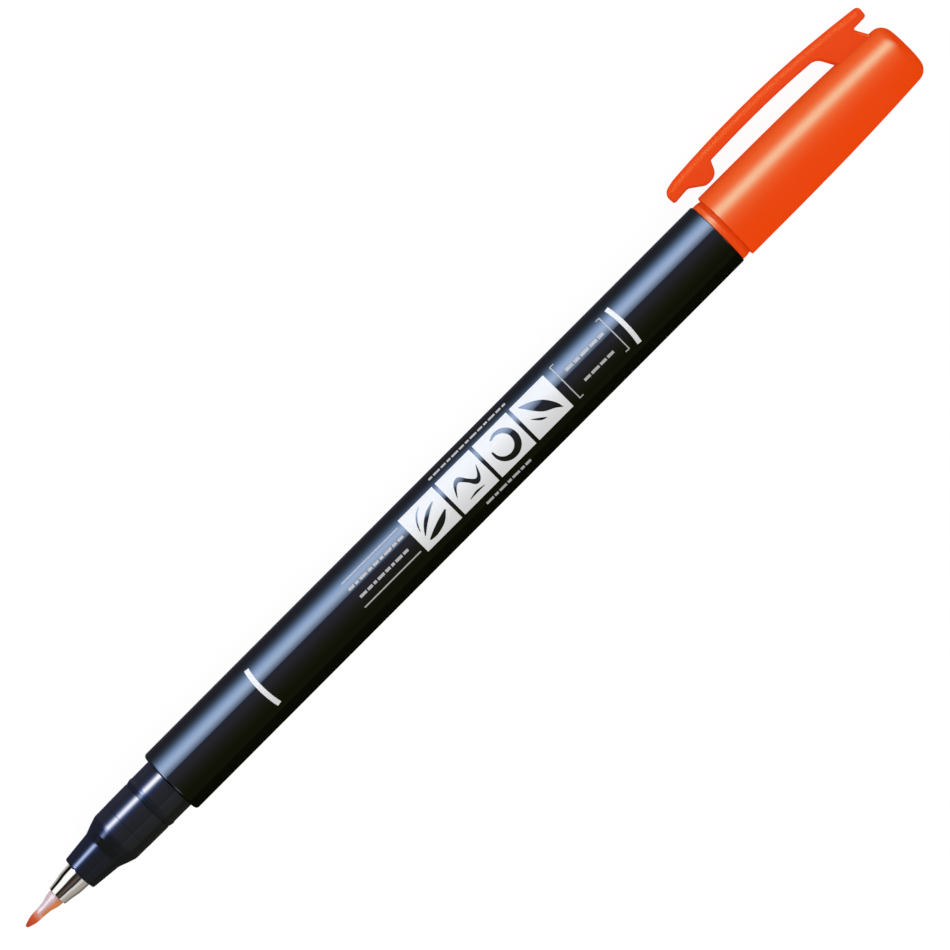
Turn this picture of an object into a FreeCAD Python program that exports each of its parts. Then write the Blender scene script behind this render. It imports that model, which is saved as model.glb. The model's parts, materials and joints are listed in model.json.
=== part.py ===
# Brush pen with a flexible felt nib, lying on a desk with its cap pushed onto its tail.
#
# Frame: millimetres, +X along the pen's axis towards the nib, +Z up from the desk.
# The origin is on the axis, halfway along the barrel.
#
# Every piece is drawn in a frame of its own: its front end is at the origin and its own +X runs
# back towards the tail, so each outline holds distances from that front end and from the axis.
# The piece's Placement then turns it round and moves it to its station on the pen.

import FreeCAD, Part
import math
import os
import re
import Sketcher

NEAR = 1e-4     # how closely an edge has to match the place it is looked for, in mm

# ---------------------------------------------------------------- driving dimensions

SIZES = [
    # barrel: an extruded tube, open at both ends
    ("barrel_length", 95.0, "barrel, end to end"),
    ("barrel_radius", 4.6, "barrel, outside"),
    ("barrel_bore", 3.84, "barrel, inside"),
    ("barrel_rim", 0.35, "rounding of the barrel's two outer rims"),

    # grip section: nose cone, shoulder, grip, snap groove and ridge, then the plug in the barrel
    ("section_reach", 15.74, "nose end to the barrel's front rim"),
    ("nose_radius", 2.39, "section at its nose end"),
    ("nose_rim", 0.3, "rounding of the nose end"),
    ("nose_length", 3.74, "nose cone, before the shoulder"),
    ("nose_base", 2.78, "section where the shoulder starts"),
    ("shoulder_length", 2.3, "shoulder between nose cone and grip"),
    ("shoulder_blend", 1.6, "rounding at both ends of the shoulder"),
    ("grip_radius", 3.73, "section where it is held"),
    ("groove_start", 11.88, "nose end to the groove that the cap snaps into"),
    ("groove_width", 0.31, "snap groove"),
    ("groove_radius", 3.5, "bottom of the snap groove"),
    ("ridge_width", 0.6, "ridge behind the snap groove"),
    ("ridge_radius", 3.86, "ridge behind the snap groove"),
    ("ridge_round", 0.15, "rounding of the ridge"),
    ("plug_radius", 3.82, "section and tail plug inside the barrel"),
    ("section_plug", 13.5, "section inside the barrel"),
    ("seat_length", 4.7, "seat of the ferrule in the section"),
    ("stem_seat_length", 2.2, "seat of the nib's stem behind the ferrule"),
    ("wick_guide_length", 2.6, "wall that holds the wick in the section's middle"),
    ("wick_guide_radius", 0.85, "hole for the wick in that wall"),
    ("section_cavity", 2.9, "hollow rear of the section"),
    ("vent_radius", 0.3, "air channel beside the wick"),
    ("vent_offset", 0.95, "air channel's middle, from the axis"),
    ("vent_count", 3, "air channels around the wick"),

    # ferrule: bright cone that holds the nib
    ("ferrule_reach", 3.86, "ferrule's mouth to the section's nose end"),
    ("ferrule_mouth", 1.35, "ferrule, outside, at its mouth"),
    ("ferrule_waist", 1.72, "ferrule where the steep front cone ends"),
    ("ferrule_waist_at", 2.25, "length of the steep front cone"),
    ("ferrule_root", 1.81, "ferrule where it enters the section"),
    ("ferrule_tube", 1.80, "ferrule inside the section"),
    ("ferrule_bore", 1.13, "ferrule, inside"),
    ("ferrule_rim", 0.1, "rounding of the ferrule's mouth"),
    ("fit_gap", 0.02, "gap left around a piece that is pressed in"),

    # nib: felt point, flared base, grooved stem
    ("nib_reach", 5.33, "nib's tip to the ferrule's mouth"),
    ("tip_round", 0.28, "rounded end of the point"),
    ("tip_shoulder_at", 0.16, "where the rounded end meets the point's side"),
    ("point_end", 1.65, "length of the point"),
    ("point_radius", 0.61, "nib at the back of the point"),
    ("point_sweep", 4.8, "curve of the point's side"),
    ("flare_middle", 3.9, "where the base turns from hollow to round"),
    ("flare_radius", 0.87, "nib there"),
    ("flare_sweep", 7.0, "curve of both halves of the base"),
    ("stem_radius", 1.11, "nib's stem"),
    ("stem_length", 10.6, "stem, behind the ferrule's mouth"),
    ("wick_socket", 0.78, "socket for the wick in the stem"),
    ("wick_socket_depth", 4.2, "depth of that socket"),
    ("channel_width", 0.22, "ink channel along the stem"),
    ("channel_floor", 0.9, "bottom of the ink channel, from the axis"),
    ("channel_count", 6, "ink channels around the stem"),

    # ink store
    ("wick_radius", 0.75, "wick"),
    ("wick_length", 34.5, "wick"),
    ("wick_point", 0.4, "chamfer at both ends of the wick"),
    ("store_gap", 0.5, "section's plug to the ink store"),
    ("store_length", 75.0, "ink store"),
    ("store_radius", 3.6, "ink store, fibre core"),
    ("store_socket", 7.8, "depth of the wick's socket in the core"),
    ("film_inside", 3.61, "film sleeve, inside"),
    ("film_outside", 3.72, "film sleeve, outside"),

    # tail plug: closes the barrel and carries the cap
    ("tail_plug_depth", 5.7, "tail plug inside the barrel"),
    ("ring_thickness", 1.2, "ring seen between the barrel and the cap"),
    ("ring_radius", 4.29, "ring seen between the barrel and the cap"),
    ("ring_round", 0.15, "rounding of the ring"),
    ("spigot_length", 10.5, "spigot that the cap is pushed onto"),
    ("spigot_radius", 3.72, "spigot"),
    ("spigot_chamfer", 0.6, "chamfer of the spigot's end"),
    ("tail_bore", 2.9, "hollow of the tail plug"),
    ("tail_end_wall", 1.1, "closed end of the tail plug"),
    ("tail_rib_length", 4.5, "rib inside the tail plug"),
    ("tail_rib_thickness", 0.6, "rib inside the tail plug"),
    ("tail_rib_inner", 1.4, "inner edge of the rib, from the axis"),
    ("tail_rib_count", 4, "ribs inside the tail plug"),

    # cap shell
    ("cap_gap", 0.1, "ring to the cap's mouth"),
    ("cap_length", 31.3, "cap"),
    ("cap_radius", 4.78, "cap at its mouth"),
    ("cap_straight", 3.4, "parallel stretch behind the mouth"),
    ("cap_middle_at", 18.5, "mouth to the place where the taper grows steeper"),
    ("cap_middle", 4.64, "cap there"),
    ("cap_end_radius", 4.1, "cap at its closed end, before rounding"),
    ("cap_dome", 0.12, "height of the slightly domed end"),
    ("cap_corner", 1.2, "rounding of the closed end"),
    ("cap_rim", 0.25, "rounding of the mouth's outer rim"),
    ("cap_lead_in", 0.2, "chamfer inside the mouth"),
    ("cap_bore", 3.9, "cap, inside, in front of the inner cap"),
    ("cap_bore_depth", 13.0, "depth of that bore"),
    ("cap_back_bore", 3.47, "cap, inside, around the inner cap"),
    ("cap_end_wall", 1.3, "closed end of the cap"),
    ("bead_radius", 3.78, "snap bead inside the cap"),
    ("bead_depth", 3.7, "mouth to the middle of the snap bead"),
    ("bead_half_width", 0.25, "half the snap bead's width"),

    # clip: one springy bar on a bridge near the cap's closed end
    ("clip_overhang", 2.45, "free end beyond the cap's mouth"),
    ("clip_peak", 13.6, "free end to the highest point of the bar"),
    ("clip_height", 8.94, "highest point of the bar, from the axis"),
    ("clip_front_sweep", 122.0, "curve of the bar in front of its highest point"),
    ("clip_rear_sweep", 137.0, "curve of the bar behind its highest point"),
    ("clip_thickness", 1.86, "bar"),
    ("clip_width", 3.6, "bar"),
    ("clip_edge", 0.6, "rounding of the bar's outer edges"),
    ("clip_inner_edge", 0.25, "rounding of the bar's inner edges"),
    ("clip_end_round", 0.8, "rounding of the bar's two ends"),
    ("clip_length", 24.85, "free end to the place where the bar flexes"),
    ("pad_start", 2.3, "free end to the pad that holds the pocket"),
    ("pad_low_at", 5.1, "free end to the pad's lowest point"),
    ("pad_end", 7.0, "free end to the pad's steep back"),
    ("pad_height", 5.2, "lowest point of the pad, from the axis"),
    ("bridge_front", 23.6, "mouth to the front of the bridge"),
    ("bridge_waist", 5.0, "foot of the round under the bar, from the axis"),
    ("bridge_round", 1.7, "round between the bridge and the bar"),
    ("bridge_foot", 28.9, "mouth to the back of the bridge, on the cap"),
    ("bridge_top", 28.0, "mouth to the back of the bridge, under the bar"),
    ("bridge_root", 3.6, "sunk end of the bridge in the cap's wall, from the axis"),
    ("stub_end", 30.5, "mouth to the bar's rear end"),
    ("stub_under", 5.94, "underside of the bar behind the bridge, from the axis"),

    # inner cap: keeps the nib from drying
    ("inner_depth", 11.6, "mouth of the cap to the inner cap's flange"),
    ("inner_length", 17.0, "inner cap"),
    ("flange_radius", 3.85, "inner cap's flange"),
    ("flange_thickness", 1.4, "inner cap's flange"),
    ("inner_radius", 3.45, "inner cap, outside"),
    ("inner_lip", 2.95, "inner cap's sealing lip"),
    ("inner_lip_length", 1.6, "inner cap's sealing lip"),
    ("inner_bore", 3.05, "inner cap, inside"),
    ("inner_end_wall", 1.1, "closed end of the inner cap"),
    ("inner_corner", 0.8, "rounding of the inner cap's closed end"),
]

doc = FreeCAD.newDocument("brush_pen")
sheet = doc.addObject("Spreadsheet::Sheet", "sizes")
for row, (alias, number, meaning) in enumerate(SIZES, start=1):
    sheet.set(f"A{row}", meaning)
    sheet.set(f"B{row}", str(number))
    sheet.setAlias(f"B{row}", alias)
doc.recompute()

ALIASES = {alias for alias, number, meaning in SIZES}


def bound(formula):
    """Write each of the sheet's names in a formula as a reference to its cell."""
    return re.sub(r"[a-z]\w*", lambda word: f"sizes.{word[0]}" if word[0] in ALIASES else word[0], formula)


def size(formula):
    """The number that a formula of the sheet's names gives."""
    return float(sheet.evalExpression(bound(formula)))


# ---------------------------------------------------------------- sketches and features

def new_piece(label):
    body = doc.addObject("PartDesign::Body", label)
    body.Label = label
    return body


def origin_feature(body, role):
    return next(feature for feature in body.Origin.OriginFeatures if feature.Role == role)


def new_sketch(body, name, plane):
    sketch = body.newObject("Sketcher::SketchObject", name)
    sketch.AttachmentSupport = [(origin_feature(body, plane), "")]
    sketch.MapMode = "FlatFace"
    return sketch


def pin_down(sketch, kind, geometry, end, formula):
    """Hold one coordinate of a point, or an arc's radius, at the value of a formula."""
    if kind == "Radius":
        constraint = Sketcher.Constraint(kind, geometry, size(formula))
    else:
        constraint = Sketcher.Constraint(kind, -1, 1, geometry, end, size(formula))
    index = sketch.addConstraint(constraint)
    sketch.setExpression(f"Constraints[{index}]", bound(formula))


def line(along, out):
    """Next corner of an outline, reached by a straight line."""
    return (along, out, None, None)


def arc(along, out, radius, turn):
    """Next corner of an outline, reached by an arc that turns left or right."""
    return (along, out, radius, turn)


def arc_middle(start, end, radius, turn):
    """Middle point of the shorter arc from start to end."""
    chord = end - start
    rise = radius - math.sqrt(radius ** 2 - (chord.Length / 2) ** 2)
    across = FreeCAD.Vector(chord.y, -chord.x, 0).normalize()
    return (start + end) / 2 + across * (rise if turn == "left" else -rise)


def draw_outline(body, name, plane, corners):
    """A closed outline whose every corner and radius follows the sheet."""
    sketch = new_sketch(body, name, plane)
    places = [FreeCAD.Vector(size(along), size(out), 0) for along, out, radius, turn in corners]
    joints = []
    for index, (along, out, radius, turn) in enumerate(corners):
        start = places[index - 1]
        end = places[index]
        if radius is None:
            geometry = sketch.addGeometry(Part.LineSegment(start, end))
            joints.append((geometry, 1, 2))
        elif turn == "left":
            middle = arc_middle(start, end, size(radius), turn)
            geometry = sketch.addGeometry(Part.Arc(start, middle, end))
            joints.append((geometry, 1, 2))
        else:
            middle = arc_middle(start, end, size(radius), turn)
            geometry = sketch.addGeometry(Part.Arc(end, middle, start))
            joints.append((geometry, 2, 1))

    for index, (geometry, first, last) in enumerate(joints):
        next_geometry, next_first, next_last = joints[(index + 1) % len(joints)]
        sketch.addConstraint(Sketcher.Constraint("Coincident", geometry, last, next_geometry, next_first))
    for (geometry, first, last), (along, out, radius, turn) in zip(joints, corners):
        pin_down(sketch, "DistanceX", geometry, last, along)
        pin_down(sketch, "DistanceY", geometry, last, out)
        if radius is not None:
            pin_down(sketch, "Radius", geometry, 0, radius)
    return sketch


def revolve(body, corners):
    """Turn an outline, drawn as (distance along the axis, radius), once round the piece's axis."""
    feature = body.newObject("PartDesign::Revolution", "turned")
    feature.Profile = draw_outline(body, "side_outline", "XY_Plane", corners)
    feature.ReferenceAxis = (origin_feature(body, "X_Axis"), [""])
    feature.Angle = 360
    doc.recompute()


def pad_both_ways(body, name, corners, width):
    """Thicken an outline, drawn in the piece's middle plane, by half the width to each side."""
    feature = body.newObject("PartDesign::Pad", name)
    feature.Profile = draw_outline(body, f"{name}_outline", "XZ_Plane", corners)
    feature.SideType = "Symmetric"
    feature.setExpression("Length", bound(width))
    doc.recompute()
    return feature


def repeat_round_axis(body, feature, count):
    """Repeat a feature evenly round the piece's axis."""
    pattern = body.newObject("PartDesign::PolarPattern", f"{feature.Name}_ring")
    pattern.Originals = [feature]
    pattern.Axis = (origin_feature(body, "X_Axis"), [""])
    pattern.Angle = 360
    pattern.setExpression("Occurrences", bound(count))
    body.Tip = pattern
    doc.recompute()


def dress(body, kind, name, edges, formula):
    """Add a Fillet or a Chamfer to edges of the piece as it stands."""
    if not edges:
        raise ValueError(f"{body.Label}: no edges found for {name}")
    base = body.Tip
    feature = body.newObject(f"PartDesign::{kind}", name)
    feature.Base = (base, edges)
    feature.setExpression("Radius" if kind == "Fillet" else "Size", bound(formula))
    doc.recompute()


def ring_edges(body, along, radius):
    """The circular edges round the axis at one place along it."""
    wanted = FreeCAD.Vector(size(along), 0, 0)
    return [
        f"Edge{number}"
        for number, edge in enumerate(body.Tip.Shape.Edges, start=1)
        if not edge.Degenerated
        and isinstance(edge.Curve, Part.Circle)
        and edge.Curve.Center.distanceToPoint(wanted) < NEAR
        and abs(edge.Curve.Radius - size(radius)) < NEAR
    ]


def cross_edges(body, along, out):
    """The straight edges that cross the middle plane at one place."""
    wanted = FreeCAD.Vector(size(along), 0, size(out))
    return [
        f"Edge{number}"
        for number, edge in enumerate(body.Tip.Shape.Edges, start=1)
        if not edge.Degenerated
        and isinstance(edge.Curve, Part.Line)
        and edge.CenterOfMass.distanceToPoint(wanted) < NEAR
    ]


def side_edges(body, lowest, highest):
    """The edges of the bar's two side faces between two heights above the axis."""
    half = size("clip_width") / 2
    found = []
    for number, edge in enumerate(body.Tip.Shape.Edges, start=1):
        box = edge.BoundBox
        on_side = abs(abs(box.YMin) - half) < NEAR and box.YLength < NEAR
        if on_side and box.ZMin > size(lowest) and box.ZMax < size(highest) + NEAR:
            found.append(f"Edge{number}")
    return found


def place(body, front, roll=0.0):
    """Turn a piece tail-wards, roll it about the pen's axis and move its front end to its station."""
    turned = FreeCAD.Rotation(FreeCAD.Vector(1, 0, 0), roll) * FreeCAD.Rotation(FreeCAD.Vector(0, 0, 1), 180)
    body.Placement = FreeCAD.Placement(FreeCAD.Vector(), turned)
    body.setExpression("Placement.Base.x", bound(front))


# ---------------------------------------------------------------- stations along the pen

BARREL_FRONT = "barrel_length / 2"
SECTION_FRONT = f"{BARREL_FRONT} + section_reach"
FERRULE_FRONT = f"{SECTION_FRONT} + ferrule_reach"
NIB_FRONT = f"{FERRULE_FRONT} + nib_reach"
STORE_FRONT = f"{BARREL_FRONT} - section_plug - store_gap"
WICK_FRONT = f"{FERRULE_FRONT} - stem_length + wick_socket_depth - fit_gap"
TAIL_PLUG_FRONT = "tail_plug_depth - barrel_length / 2"
CAP_FRONT = "-(barrel_length / 2 + ring_thickness + cap_gap)"
INNER_CAP_FRONT = f"{CAP_FRONT} - inner_depth"
CLIP_FRONT = f"{CAP_FRONT} + clip_overhang"


def clip_roll():
    """Angle that rolls the cap until the rim of its clip touches the desk that the cap lies on."""
    reach = size("clip_height - clip_edge")
    half = size("clip_width / 2 - clip_edge")
    drop = size("cap_radius - clip_edge")
    below_level = math.asin(drop / math.hypot(reach, half)) - math.atan2(half, reach)
    return 90 + math.degrees(below_level)


# ---------------------------------------------------------------- pieces of the pen

def make_barrel():
    barrel = new_piece("barrel")
    revolve(barrel, [
        line("0", "barrel_bore"),
        line("barrel_length", "barrel_bore"),
        line("barrel_length", "barrel_radius"),
        line("0", "barrel_radius"),
    ])
    rims = ring_edges(barrel, "0", "barrel_radius") + ring_edges(barrel, "barrel_length", "barrel_radius")
    dress(barrel, "Fillet", "rims", rims, "barrel_rim")
    place(barrel, BARREL_FRONT)
    return barrel


def make_grip_section():
    """Turned body with a stepped bore: ferrule seat, stem seat, wick guide, open rear."""
    section = new_piece("grip_section")
    shoulder_end = "nose_length + shoulder_length"
    groove_end = "groove_start + groove_width"
    ridge_end = f"{groove_end} + ridge_width"
    back = "section_reach + section_plug"
    ferrule_seat = "ferrule_tube + fit_gap"
    stem_seat = "stem_radius + fit_gap"
    guide_start = "seat_length + stem_seat_length"
    guide_end = f"{guide_start} + wick_guide_length"
    revolve(section, [
        line("0", ferrule_seat),
        line("seat_length", ferrule_seat),
        line("seat_length", stem_seat),
        line(guide_start, stem_seat),
        line(guide_start, "wick_guide_radius"),
        line(guide_end, "wick_guide_radius"),
        line(guide_end, "section_cavity"),
        line(back, "section_cavity"),
        line(back, "plug_radius"),
        line(ridge_end, "plug_radius"),
        line(ridge_end, "ridge_radius"),
        line(groove_end, "ridge_radius"),
        line(groove_end, "groove_radius"),
        line("groove_start", "groove_radius"),
        line("groove_start", "grip_radius"),
        line(shoulder_end, "grip_radius"),
        line("nose_length", "nose_base"),
        line("0", "nose_radius"),
    ])

    bends = ring_edges(section, "nose_length", "nose_base") + ring_edges(section, shoulder_end, "grip_radius")
    dress(section, "Fillet", "shoulder_bends", bends, "shoulder_blend")
    dress(section, "Fillet", "nose_round", ring_edges(section, "0", "nose_radius"), "nose_rim")
    dress(section, "Fillet", "ridge", ring_edges(section, groove_end, "ridge_radius"), "ridge_round")

    vent = section.newObject("PartDesign::Pocket", "vent")
    circle = new_sketch(section, "vent_circle", "YZ_Plane")
    middle = FreeCAD.Vector(0, size("vent_offset"), 0)
    circle.addGeometry(Part.Circle(middle, FreeCAD.Vector(0, 0, 1), size("vent_radius")))
    pin_down(circle, "DistanceX", 0, 3, "0")
    pin_down(circle, "DistanceY", 0, 3, "vent_offset")
    pin_down(circle, "Radius", 0, 0, "vent_radius")
    vent.Profile = circle
    vent.Type = "ThroughAll"
    vent.Reversed = True
    doc.recompute()
    repeat_round_axis(section, vent, "vent_count")
    place(section, SECTION_FRONT)
    return section


def make_ferrule():
    ferrule = new_piece("ferrule")
    back = "ferrule_reach + seat_length - fit_gap"
    revolve(ferrule, [
        line("0", "ferrule_bore"),
        line(back, "ferrule_bore"),
        line(back, "ferrule_tube"),
        line("ferrule_reach", "ferrule_tube"),
        line("ferrule_reach", "ferrule_root"),
        line("ferrule_waist_at", "ferrule_waist"),
        line("0", "ferrule_mouth"),
    ])
    dress(ferrule, "Fillet", "mouth", ring_edges(ferrule, "0", "ferrule_mouth"), "ferrule_rim")
    place(ferrule, FERRULE_FRONT)
    return ferrule


def make_nib():
    """Point and flared base in front of the ferrule, then the stem with its channels and wick socket."""
    nib = new_piece("nib")
    back = "nib_reach + stem_length"
    socket = f"{back} - wick_socket_depth"
    tip_shoulder = "sqrt(2 * tip_round * tip_shoulder_at - tip_shoulder_at^2)"
    revolve(nib, [
        line(socket, "0"),
        line(socket, "wick_socket"),
        line(back, "wick_socket"),
        line(back, "stem_radius"),
        line("nib_reach", "stem_radius"),
        arc("flare_middle", "flare_radius", "flare_sweep", "left"),
        arc("point_end", "point_radius", "flare_sweep", "right"),
        arc("tip_shoulder_at", tip_shoulder, "point_sweep", "left"),
        arc("0", "0", "tip_round", "left"),
    ])

    channel = nib.newObject("PartDesign::Pocket", "channel")
    half = "channel_width / 2"
    above = "stem_radius + channel_width"
    channel.Profile = draw_outline(nib, "channel_outline", "YZ_Plane", [
        line(half, "channel_floor"),
        line(half, above),
        line(f"-{half}", above),
        line(f"-{half}", "channel_floor"),
    ])
    channel.Type = "Length"
    channel.Reversed = True
    channel.setExpression("Length", bound(back))
    doc.recompute()
    repeat_round_axis(nib, channel, "channel_count")
    place(nib, NIB_FRONT)
    return nib


def make_relay_wick():
    wick = new_piece("relay_wick")
    revolve(wick, [
        line("wick_length", "0"),
        line("wick_length", "wick_radius"),
        line("0", "wick_radius"),
        line("0", "0"),
    ])
    ends = ring_edges(wick, "0", "wick_radius") + ring_edges(wick, "wick_length", "wick_radius")
    dress(wick, "Chamfer", "points", ends, "wick_point")
    place(wick, WICK_FRONT)
    return wick


def make_reservoir_core():
    core = new_piece("reservoir_core")
    socket = "wick_radius + fit_gap"
    revolve(core, [
        line("store_socket", "0"),
        line("store_length", "0"),
        line("store_length", "store_radius"),
        line("0", "store_radius"),
        line("0", socket),
        line("store_socket", socket),
    ])
    place(core, STORE_FRONT)
    return core


def make_reservoir_film():
    film = new_piece("reservoir_film")
    revolve(film, [
        line("0", "film_inside"),
        line("store_length", "film_inside"),
        line("store_length", "film_outside"),
        line("0", "film_outside"),
    ])
    place(film, STORE_FRONT)
    return film


def make_tail_plug():
    """Plug in the barrel, ring that stays in sight, spigot for the cap; ribs hold the ink store."""
    plug = new_piece("tail_plug")
    ring_end = "tail_plug_depth + ring_thickness"
    back = f"{ring_end} + spigot_length"
    hollow_end = f"{back} - tail_end_wall"
    revolve(plug, [
        line("0", "tail_bore"),
        line(hollow_end, "tail_bore"),
        line(hollow_end, "0"),
        line(back, "0"),
        line(back, "spigot_radius"),
        line(ring_end, "spigot_radius"),
        line(ring_end, "ring_radius"),
        line("tail_plug_depth", "ring_radius"),
        line("tail_plug_depth", "plug_radius"),
        line("0", "plug_radius"),
    ])
    dress(plug, "Fillet", "ring_rounds", ring_edges(plug, ring_end, "ring_radius"), "ring_round")
    dress(plug, "Chamfer", "spigot_end", ring_edges(plug, back, "spigot_radius"), "spigot_chamfer")

    half = "tail_rib_thickness / 2"
    middle_of_wall = "(tail_bore + plug_radius) / 2"
    rib = plug.newObject("PartDesign::Pad", "rib")
    rib.Profile = draw_outline(plug, "rib_outline", "YZ_Plane", [
        line(half, "tail_rib_inner"),
        line(half, middle_of_wall),
        line(f"-{half}", middle_of_wall),
        line(f"-{half}", "tail_rib_inner"),
    ])
    rib.setExpression("Length", bound("tail_rib_length"))
    doc.recompute()
    repeat_round_axis(plug, rib, "tail_rib_count")
    place(plug, TAIL_PLUG_FRONT)
    return plug


# ---------------------------------------------------------------- pieces of the cap

def bar_height(distance, sweep, thickness="0"):
    """Height of the bar's outer face, or of its inner face, at a distance from its highest point."""
    return f"clip_height - {sweep} + sqrt(({sweep} - {thickness})^2 - ({distance})^2)"


def make_cap_shell():
    """Hollow cap with the bridge of its clip; the springy bar in front of the bridge is the clip."""
    shell = new_piece("cap_shell")
    inner_end = "cap_length - cap_end_wall"
    domed_end = "cap_length - cap_dome"
    dome_sweep = "(cap_end_radius^2 + cap_dome^2) / (2 * cap_dome)"
    revolve(shell, [
        line("0", "cap_bore + cap_lead_in"),
        line("cap_lead_in", "cap_bore"),
        line("bead_depth - bead_half_width", "cap_bore"),
        line("bead_depth", "bead_radius"),
        line("bead_depth + bead_half_width", "cap_bore"),
        line("cap_bore_depth", "cap_bore"),
        line("cap_bore_depth", "cap_back_bore"),
        line(inner_end, "cap_back_bore"),
        line(inner_end, "0"),
        line("cap_length", "0"),
        arc(domed_end, "cap_end_radius", dome_sweep, "left"),
        line("cap_middle_at", "cap_middle"),
        line("cap_straight", "cap_radius"),
        line("0", "cap_radius"),
    ])
    dress(shell, "Fillet", "end_corner", ring_edges(shell, domed_end, "cap_end_radius"), "cap_corner")
    dress(shell, "Fillet", "mouth_rim", ring_edges(shell, "0", "cap_radius"), "cap_rim")

    peak = "clip_peak - clip_overhang"
    flex = "clip_length - clip_overhang"
    top_at_flex = bar_height(f"{flex} - ({peak})", "clip_rear_sweep")
    under_at_flex = bar_height(f"{flex} - ({peak})", "clip_rear_sweep", "clip_thickness")
    top_at_stub = bar_height(f"stub_end - ({peak})", "clip_rear_sweep")
    pad_both_ways(shell, "bridge", [
        line("bridge_front", "bridge_root"),
        line("bridge_foot", "bridge_root"),
        line("bridge_top", "stub_under"),
        line("stub_end", "stub_under"),
        line("stub_end", top_at_stub),
        arc(flex, top_at_flex, "clip_rear_sweep", "left"),
        line(flex, under_at_flex),
        arc("bridge_front", "bridge_waist", "bridge_round", "right"),
    ], "clip_width")
    ends = cross_edges(shell, "stub_end", top_at_stub) + cross_edges(shell, "stub_end", "stub_under")
    dress(shell, "Fillet", "stub_round", ends, "clip_end_round")
    top_edges = side_edges(shell, "stub_under + clip_thickness / 2", "clip_height")
    dress(shell, "Fillet", "bar_edges", top_edges, "clip_edge")
    place(shell, CAP_FRONT, clip_roll())
    return shell


def make_clip():
    """Bar from its free end to the place where it flexes, with the rounded pad that holds the pocket."""
    clip = new_piece("clip")
    end_top = bar_height("clip_peak", "clip_front_sweep")
    end_under = bar_height("clip_peak", "clip_front_sweep", "clip_thickness")
    pad_start_under = bar_height("clip_peak - pad_start", "clip_front_sweep", "clip_thickness")
    pad_end_under = bar_height("clip_peak - pad_end", "clip_front_sweep", "clip_thickness")
    flex_top = bar_height("clip_length - clip_peak", "clip_rear_sweep")
    flex_under = bar_height("clip_length - clip_peak", "clip_rear_sweep", "clip_thickness")

    def tangent_sweep(run, rise):
        """Radius of the arc that runs level at the pad's lowest point."""
        return f"(({run})^2 + ({rise})^2) / (2 * ({rise}))"

    front_sweep = tangent_sweep("pad_low_at - pad_start", f"{pad_start_under} - pad_height")
    back_sweep = tangent_sweep("pad_end - pad_low_at", f"{pad_end_under} - pad_height")
    pad_both_ways(clip, "bar", [
        line("0", end_under),
        arc("pad_start", pad_start_under, "clip_front_sweep - clip_thickness", "right"),
        arc("pad_low_at", "pad_height", front_sweep, "left"),
        arc("pad_end", pad_end_under, back_sweep, "left"),
        arc("clip_peak", "clip_height - clip_thickness", "clip_front_sweep - clip_thickness", "right"),
        arc("clip_length", flex_under, "clip_rear_sweep - clip_thickness", "right"),
        line("clip_length", flex_top),
        arc("clip_peak", "clip_height", "clip_rear_sweep", "left"),
        arc("0", end_top, "clip_front_sweep", "left"),
    ], "clip_width")
    dress(clip, "Fillet", "end_round", cross_edges(clip, "0", end_top), "clip_end_round")
    top_edges = side_edges(clip, "clip_height - clip_thickness / 2", "clip_height")
    dress(clip, "Fillet", "bar_edges", top_edges, "clip_edge")
    place(clip, CLIP_FRONT, clip_roll())
    return clip


def make_inner_cap():
    """Thin closed cup; its flange sits on the step in the cap's bore, its lip seals on the section."""
    inner = new_piece("inner_cap")
    hollow_end = "inner_length - inner_end_wall"
    revolve(inner, [
        line("0", "inner_lip"),
        line("inner_lip_length", "inner_lip"),
        line("inner_lip_length", "inner_bore"),
        line(hollow_end, "inner_bore"),
        line(hollow_end, "0"),
        line("inner_length", "0"),
        line("inner_length", "inner_radius"),
        line("flange_thickness", "inner_radius"),
        line("flange_thickness", "flange_radius"),
        line("0", "flange_radius"),
    ])
    corner = ring_edges(inner, "inner_length", "inner_radius")
    dress(inner, "Fillet", "end_corner", corner, "inner_corner")
    place(inner, INNER_CAP_FRONT)
    return inner


# ---------------------------------------------------------------- build, check and write

PIECES = [
    make_barrel(),
    make_grip_section(),
    make_ferrule(),
    make_nib(),
    make_relay_wick(),
    make_reservoir_core(),
    make_reservoir_film(),
    make_tail_plug(),
    make_cap_shell(),
    make_clip(),
    make_inner_cap(),
]
doc.recompute()


def check_document():
    """Stop before anything is written if a feature failed, a sketch is loose or a piece is not one solid."""
    for thing in doc.Objects:
        if "Invalid" in thing.State or "Error" in thing.State:
            raise RuntimeError(f"{thing.Label} failed: {thing.State}")
        if thing.TypeId == "Sketcher::SketchObject" and not thing.FullyConstrained:
            raise RuntimeError(f"{thing.Label} is not fully constrained")
    for piece in PIECES:
        if piece.Shape.isNull() or not piece.Shape.isValid() or len(piece.Shape.Solids) != 1:
            raise RuntimeError(f"{piece.Label} is not one valid solid")


check_document()
os.makedirs("parts", exist_ok=True)
for piece in PIECES:
    piece.Shape.exportStep(f"parts/{piece.Label}.step")
    box = piece.Shape.BoundBox
    print(f"{piece.Label}: {piece.Shape.Volume:.2f} mm3, x {box.XMin:.2f} to {box.XMax:.2f}")
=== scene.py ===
"""Looks of a slim brush pen that lies on a pale desk, with its cap pushed onto its tail.

Every length in a piece's outline is in millimetres. Outlines of the turned pieces hold
(distance back from the piece's front end, radius, rounding of that corner).
"""

import json
import math

import bmesh
import bpy
from mathutils import Matrix, Vector


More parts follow.
